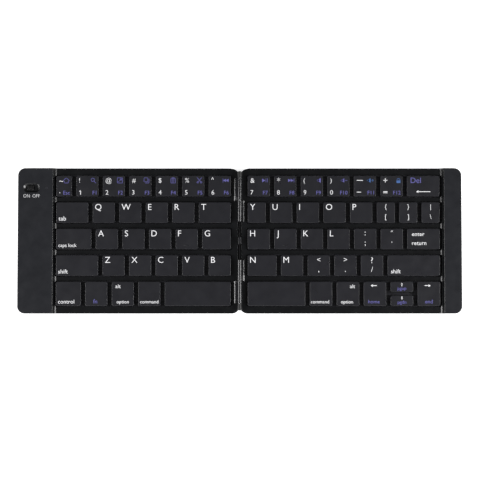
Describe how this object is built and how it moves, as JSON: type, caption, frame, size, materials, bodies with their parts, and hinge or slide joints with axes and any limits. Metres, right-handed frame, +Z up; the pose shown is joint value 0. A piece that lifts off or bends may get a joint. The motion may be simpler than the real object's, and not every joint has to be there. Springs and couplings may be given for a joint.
{
  "type": "folding keyboard",
  "caption": "Slim pocket keyboard in two halves that fold face to face on a raised hinge, with scissor keys, raised end strips and a slide power switch.",
  "frame": {"origin": "midway along the hinge, on the surface that the feet stand on, with the keyboard open and flat", "axes": "+X to the right along the rows of keys, +Y to the back edge, +Z up"},
  "size_m": [0.291, 0.0954, 0.0103],
  "materials": {
    "case_plastic": "fine matt texture",
    "key_plastic": "satin",
    "hinge_metal": "satin black",
    "pin_steel": "drawn",
    "backplate_steel": "black coated",
    "membrane_film": "printed film",
    "silicone": "translucent",
    "scissor_plastic": "moulded",
    "ribbon_film": "satin",
    "circuit_board": "solder mask",
    "cell_foil": "pouch foil",
    "socket_steel": "plated",
    "switch_plastic": "moulded",
    "lens": "smoked clear",
    "magnet": "nickel plated",
    "screw_steel": "black oxide",
    "foot_rubber": "matt"
  },
  "bodies": {
    "left_half": {"left_bottom_cover": "case_plastic", "left_top_case": "case_plastic", "left_backplate": "backplate_steel", "left_membrane": "membrane_film", "left_domes": "silicone", "left_scissors": "scissor_plastic", "left_hinge_leaf": "hinge_metal", "left_magnets": "magnet", "left_screws": "screw_steel", "left_feet": "foot_rubber", "hinge_pins": "pin_steel", "hinge_end_caps": "hinge_metal", "hinge_ribbon": "ribbon_film", "main_board": "circuit_board", "battery": "cell_foil", "charging_socket": "socket_steel", "power_switch_body": "switch_plastic", "status_lens": "lens"},
    "right_half": {"right_bottom_cover": "case_plastic", "right_top_case": "case_plastic", "right_backplate": "backplate_steel", "right_membrane": "membrane_film", "right_domes": "silicone", "right_scissors": "scissor_plastic", "right_hinge_leaf": "hinge_metal", "right_magnets": "magnet", "right_screws": "screw_steel", "right_feet": "foot_rubber"},
    "power_switch": {"power_switch_knob": "switch_plastic"},
    "key_tab": {"key_tab": "key_plastic"},
    "key_caps_lock": {"key_caps_lock": "key_plastic"},
    "key_left_shift": {"key_left_shift": "key_plastic"},
    "key_control": {"key_control": "key_plastic"},
    "key_fn": {"key_fn": "key_plastic"},
    "key_left_option": {"key_left_option": "key_plastic"},
    "key_left_command": {"key_left_command": "key_plastic"},
    "key_left_space": {"key_left_space": "key_plastic"},
    "keys_tilde_to_3": {"keys_tilde_to_3": "key_plastic"},
    "keys_4_to_6": {"keys_4_to_6": "key_plastic"},
    "keys_q_to_t": {"keys_q_to_t": "key_plastic"},
    "keys_a_to_g": {"keys_a_to_g": "key_plastic"},
    "keys_z_to_b": {"keys_z_to_b": "key_plastic"},
    "key_delete": {"key_delete": "key_plastic"},
    "key_enter": {"key_enter": "key_plastic"},
    "key_right_shift": {"key_right_shift": "key_plastic"},
    "key_right_space": {"key_right_space": "key_plastic"},
    "key_right_command": {"key_right_command": "key_plastic"},
    "key_right_option": {"key_right_option": "key_plastic"},
    "key_left_arrow": {"key_left_arrow": "key_plastic"},
    "key_up_arrow": {"key_up_arrow": "key_plastic"},
    "key_down_arrow": {"key_down_arrow": "key_plastic"},
    "key_right_arrow": {"key_right_arrow": "key_plastic"},
    "keys_7_to_0": {"keys_7_to_0": "key_plastic"},
    "keys_minus_equals": {"keys_minus_equals": "key_plastic"},
    "keys_y_to_p": {"keys_y_to_p": "key_plastic"},
    "keys_brackets": {"keys_brackets": "key_plastic"},
    "keys_h_to_l": {"keys_h_to_l": "key_plastic"},
    "keys_semicolon_quote": {"keys_semicolon_quote": "key_plastic"},
    "keys_n_m": {"keys_n_m": "key_plastic"},
    "keys_comma_to_slash": {"keys_comma_to_slash": "key_plastic"}
  },
  "joints": [
    {"name": "fold", "type": "hinge", "parent": "left_half", "child": "right_half", "pos_m": [0, 0, 0.00875], "axis": [0, -1, 0], "range_deg": [0, 180], "deforming": ["hinge_ribbon"]},
    {"name": "switch_slide", "type": "slide", "parent": "left_half", "child": "power_switch", "axis": [1, 0, 0], "range_m": [0, 0.0016]},
    {"name": "press_tab", "type": "slide", "parent": "left_half", "child": "key_tab", "axis": [0, 0, -1], "range_m": [0, 0.0015], "stiffness_N_per_m": 400, "springref_m": -0.0005, "deforming": ["left_domes", "left_scissors"]},
    {"name": "press_caps_lock", "type": "slide", "parent": "left_half", "child": "key_caps_lock", "axis": [0, 0, -1], "range_m": [0, 0.0015], "stiffness_N_per_m": 400, "springref_m": -0.0005, "deforming": ["left_domes", "left_scissors"]},
    {"name": "press_left_shift", "type": "slide", "parent": "left_half", "child": "key_left_shift", "axis": [0, 0, -1], "range_m": [0, 0.0015], "stiffness_N_per_m": 400, "springref_m": -0.0005, "deforming": ["left_domes", "left_scissors"]},
    {"name": "press_control", "type": "slide", "parent": "left_half", "child": "key_control", "axis": [0, 0, -1], "range_m": [0, 0.0015], "stiffness_N_per_m": 400, "springref_m": -0.0005, "deforming": ["left_domes", "left_scissors"]},
    {"name": "press_fn", "type": "slide", "parent": "left_half", "child": "key_fn", "axis": [0, 0, -1], "range_m": [0, 0.0015], "stiffness_N_per_m": 400, "springref_m": -0.0005, "deforming": ["left_domes", "left_scissors"]},
    {"name": "press_left_option", "type": "slide", "parent": "left_half", "child": "key_left_option", "axis": [0, 0, -1], "range_m": [0, 0.0015], "stiffness_N_per_m": 400, "springref_m": -0.0005, "deforming": ["left_domes", "left_scissors"]},
    {"name": "press_left_command", "type": "slide", "parent": "left_half", "child": "key_left_command", "axis": [0, 0, -1], "range_m": [0, 0.0015], "stiffness_N_per_m": 400, "springref_m": -0.0005, "deforming": ["left_domes", "left_scissors"]},
    {"name": "press_left_space", "type": "slide", "parent": "left_half", "child": "key_left_space", "axis": [0, 0, -1], "range_m": [0, 0.0015], "stiffness_N_per_m": 400, "springref_m": -0.0005, "deforming": ["left_domes", "left_scissors"]},
    {"name": "press_tilde_to_3", "type": "slide", "parent": "left_half", "child": "keys_tilde_to_3", "axis": [0, 0, -1], "range_m": [0, 0.0015], "stiffness_N_per_m": 1600, "springref_m": -0.0005, "deforming": ["left_domes", "left_scissors"]},
    {"name": "press_4_to_6", "type": "slide", "parent": "left_half", "child": "keys_4_to_6", "axis": [0, 0, -1], "range_m": [0, 0.0015], "stiffness_N_per_m": 1200, "springref_m": -0.0005, "deforming": ["left_domes", "left_scissors"]},
    {"name": "press_q_to_t", "type": "slide", "parent": "left_half", "child": "keys_q_to_t", "axis": [0, 0, -1], "range_m": [0, 0.0015], "stiffness_N_per_m": 2000, "springref_m": -0.0005, "deforming": ["left_domes", "left_scissors"]},
    {"name": "press_a_to_g", "type": "slide", "parent": "left_half", "child": "keys_a_to_g", "axis": [0, 0, -1], "range_m": [0, 0.0015], "stiffness_N_per_m": 2000, "springref_m": -0.0005, "deforming": ["left_domes", "left_scissors"]},
    {"name": "press_z_to_b", "type": "slide", "parent": "left_half", "child": "keys_z_to_b", "axis": [0, 0, -1], "range_m": [0, 0.0015], "stiffness_N_per_m": 2000, "springref_m": -0.0005, "deforming": ["left_domes", "left_scissors"]},
    {"name": "press_delete", "type": "slide", "parent": "right_half", "child": "key_delete", "axis": [0, 0, -1], "range_m": [0, 0.0015], "stiffness_N_per_m": 400, "springref_m": -0.0005, "deforming": ["right_domes", "right_scissors"]},
    {"name": "press_enter", "type": "slide", "parent": "right_half", "child": "key_enter", "axis": [0, 0, -1], "range_m": [0, 0.0015], "stiffness_N_per_m": 400, "springref_m": -0.0005, "deforming": ["right_domes", "right_scissors"]},
    {"name": "press_right_shift", "type": "slide", "parent": "right_half", "child": "key_right_shift", "axis": [0, 0, -1], "range_m": [0, 0.0015], "stiffness_N_per_m": 400, "springref_m": -0.0005, "deforming": ["right_domes", "right_scissors"]},
    {"name": "press_right_space", "type": "slide", "parent": "right_half", "child": "key_right_space", "axis": [0, 0, -1], "range_m": [0, 0.0015], "stiffness_N_per_m": 400, "springref_m": -0.0005, "deforming": ["right_domes", "right_scissors"]},
    {"name": "press_right_command", "type": "slide", "parent": "right_half", "child": "key_right_command", "axis": [0, 0, -1], "range_m": [0, 0.0015], "stiffness_N_per_m": 400, "springref_m": -0.0005, "deforming": ["right_domes", "right_scissors"]},
    {"name": "press_right_option", "type": "slide", "parent": "right_half", "child": "key_right_option", "axis": [0, 0, -1], "range_m": [0, 0.0015], "stiffness_N_per_m": 400, "springref_m": -0.0005, "deforming": ["right_domes", "right_scissors"]},
    {"name": "press_left_arrow", "type": "slide", "parent": "right_half", "child": "key_left_arrow", "axis": [0, 0, -1], "range_m": [0, 0.0015], "stiffness_N_per_m": 400, "springref_m": -0.0005, "deforming": ["right_domes", "right_scissors"]},
    {"name": "press_up_arrow", "type": "slide", "parent": "right_half", "child": "key_up_arrow", "axis": [0, 0, -1], "range_m": [0, 0.0015], "stiffness_N_per_m": 400, "springref_m": -0.0005, "deforming": ["right_domes", "right_scissors"]},
    {"name": "press_down_arrow", "type": "slide", "parent": "right_half", "child": "key_down_arrow", "axis": [0, 0, -1], "range_m": [0, 0.0015], "stiffness_N_per_m": 400, "springref_m": -0.0005, "deforming": ["right_domes", "right_scissors"]},
    {"name": "press_right_arrow", "type": "slide", "parent": "right_half", "child": "key_right_arrow", "axis": [0, 0, -1], "range_m": [0, 0.0015], "stiffness_N_per_m": 400, "springref_m": -0.0005, "deforming": ["right_domes", "right_scissors"]},
    {"name": "press_7_to_0", "type": "slide", "parent": "right_half", "child": "keys_7_to_0", "axis": [0, 0, -1], "range_m": [0, 0.0015], "stiffness_N_per_m": 1600, "springref_m": -0.0005, "deforming": ["right_domes", "right_scissors"]},
    {"name": "press_minus_equals", "type": "slide", "parent": "right_half", "child": "keys_minus_equals", "axis": [0, 0, -1], "range_m": [0, 0.0015], "stiffness_N_per_m": 800, "springref_m": -0.0005, "deforming": ["right_domes", "right_scissors"]},
    {"name": "press_y_to_p", "type": "slide", "parent": "right_half", "child": "keys_y_to_p", "axis": [0, 0, -1], "range_m": [0, 0.0015], "stiffness_N_per_m": 2000, "springref_m": -0.0005, "deforming": ["right_domes", "right_scissors"]},
    {"name": "press_brackets", "type": "slide", "parent": "right_half", "child": "keys_brackets", "axis": [0, 0, -1], "range_m": [0, 0.0015], "stiffness_N_per_m": 1200, "springref_m": -0.0005, "deforming": ["right_domes", "right_scissors"]},
    {"name": "press_h_to_l", "type": "slide", "parent": "right_half", "child": "keys_h_to_l", "axis": [0, 0, -1], "range_m": [0, 0.0015], "stiffness_N_per_m": 1600, "springref_m": -0.0005, "deforming": ["right_domes", "right_scissors"]},
    {"name": "press_semicolon_quote", "type": "slide", "parent": "right_half", "child": "keys_semicolon_quote", "axis": [0, 0, -1], "range_m": [0, 0.0015], "stiffness_N_per_m": 800, "springref_m": -0.0005, "deforming": ["right_domes", "right_scissors"]},
    {"name": "press_n_m", "type": "slide", "parent": "right_half", "child": "keys_n_m", "axis": [0, 0, -1], "range_m": [0, 0.0015], "stiffness_N_per_m": 800, "springref_m": -0.0005, "deforming": ["right_domes", "right_scissors"]},
    {"name": "press_comma_to_slash", "type": "slide", "parent": "right_half", "child": "keys_comma_to_slash", "axis": [0, 0, -1], "range_m": [0, 0.0015], "stiffness_N_per_m": 1200, "springref_m": -0.0005, "deforming": ["right_domes", "right_scissors"]}
  ]
}
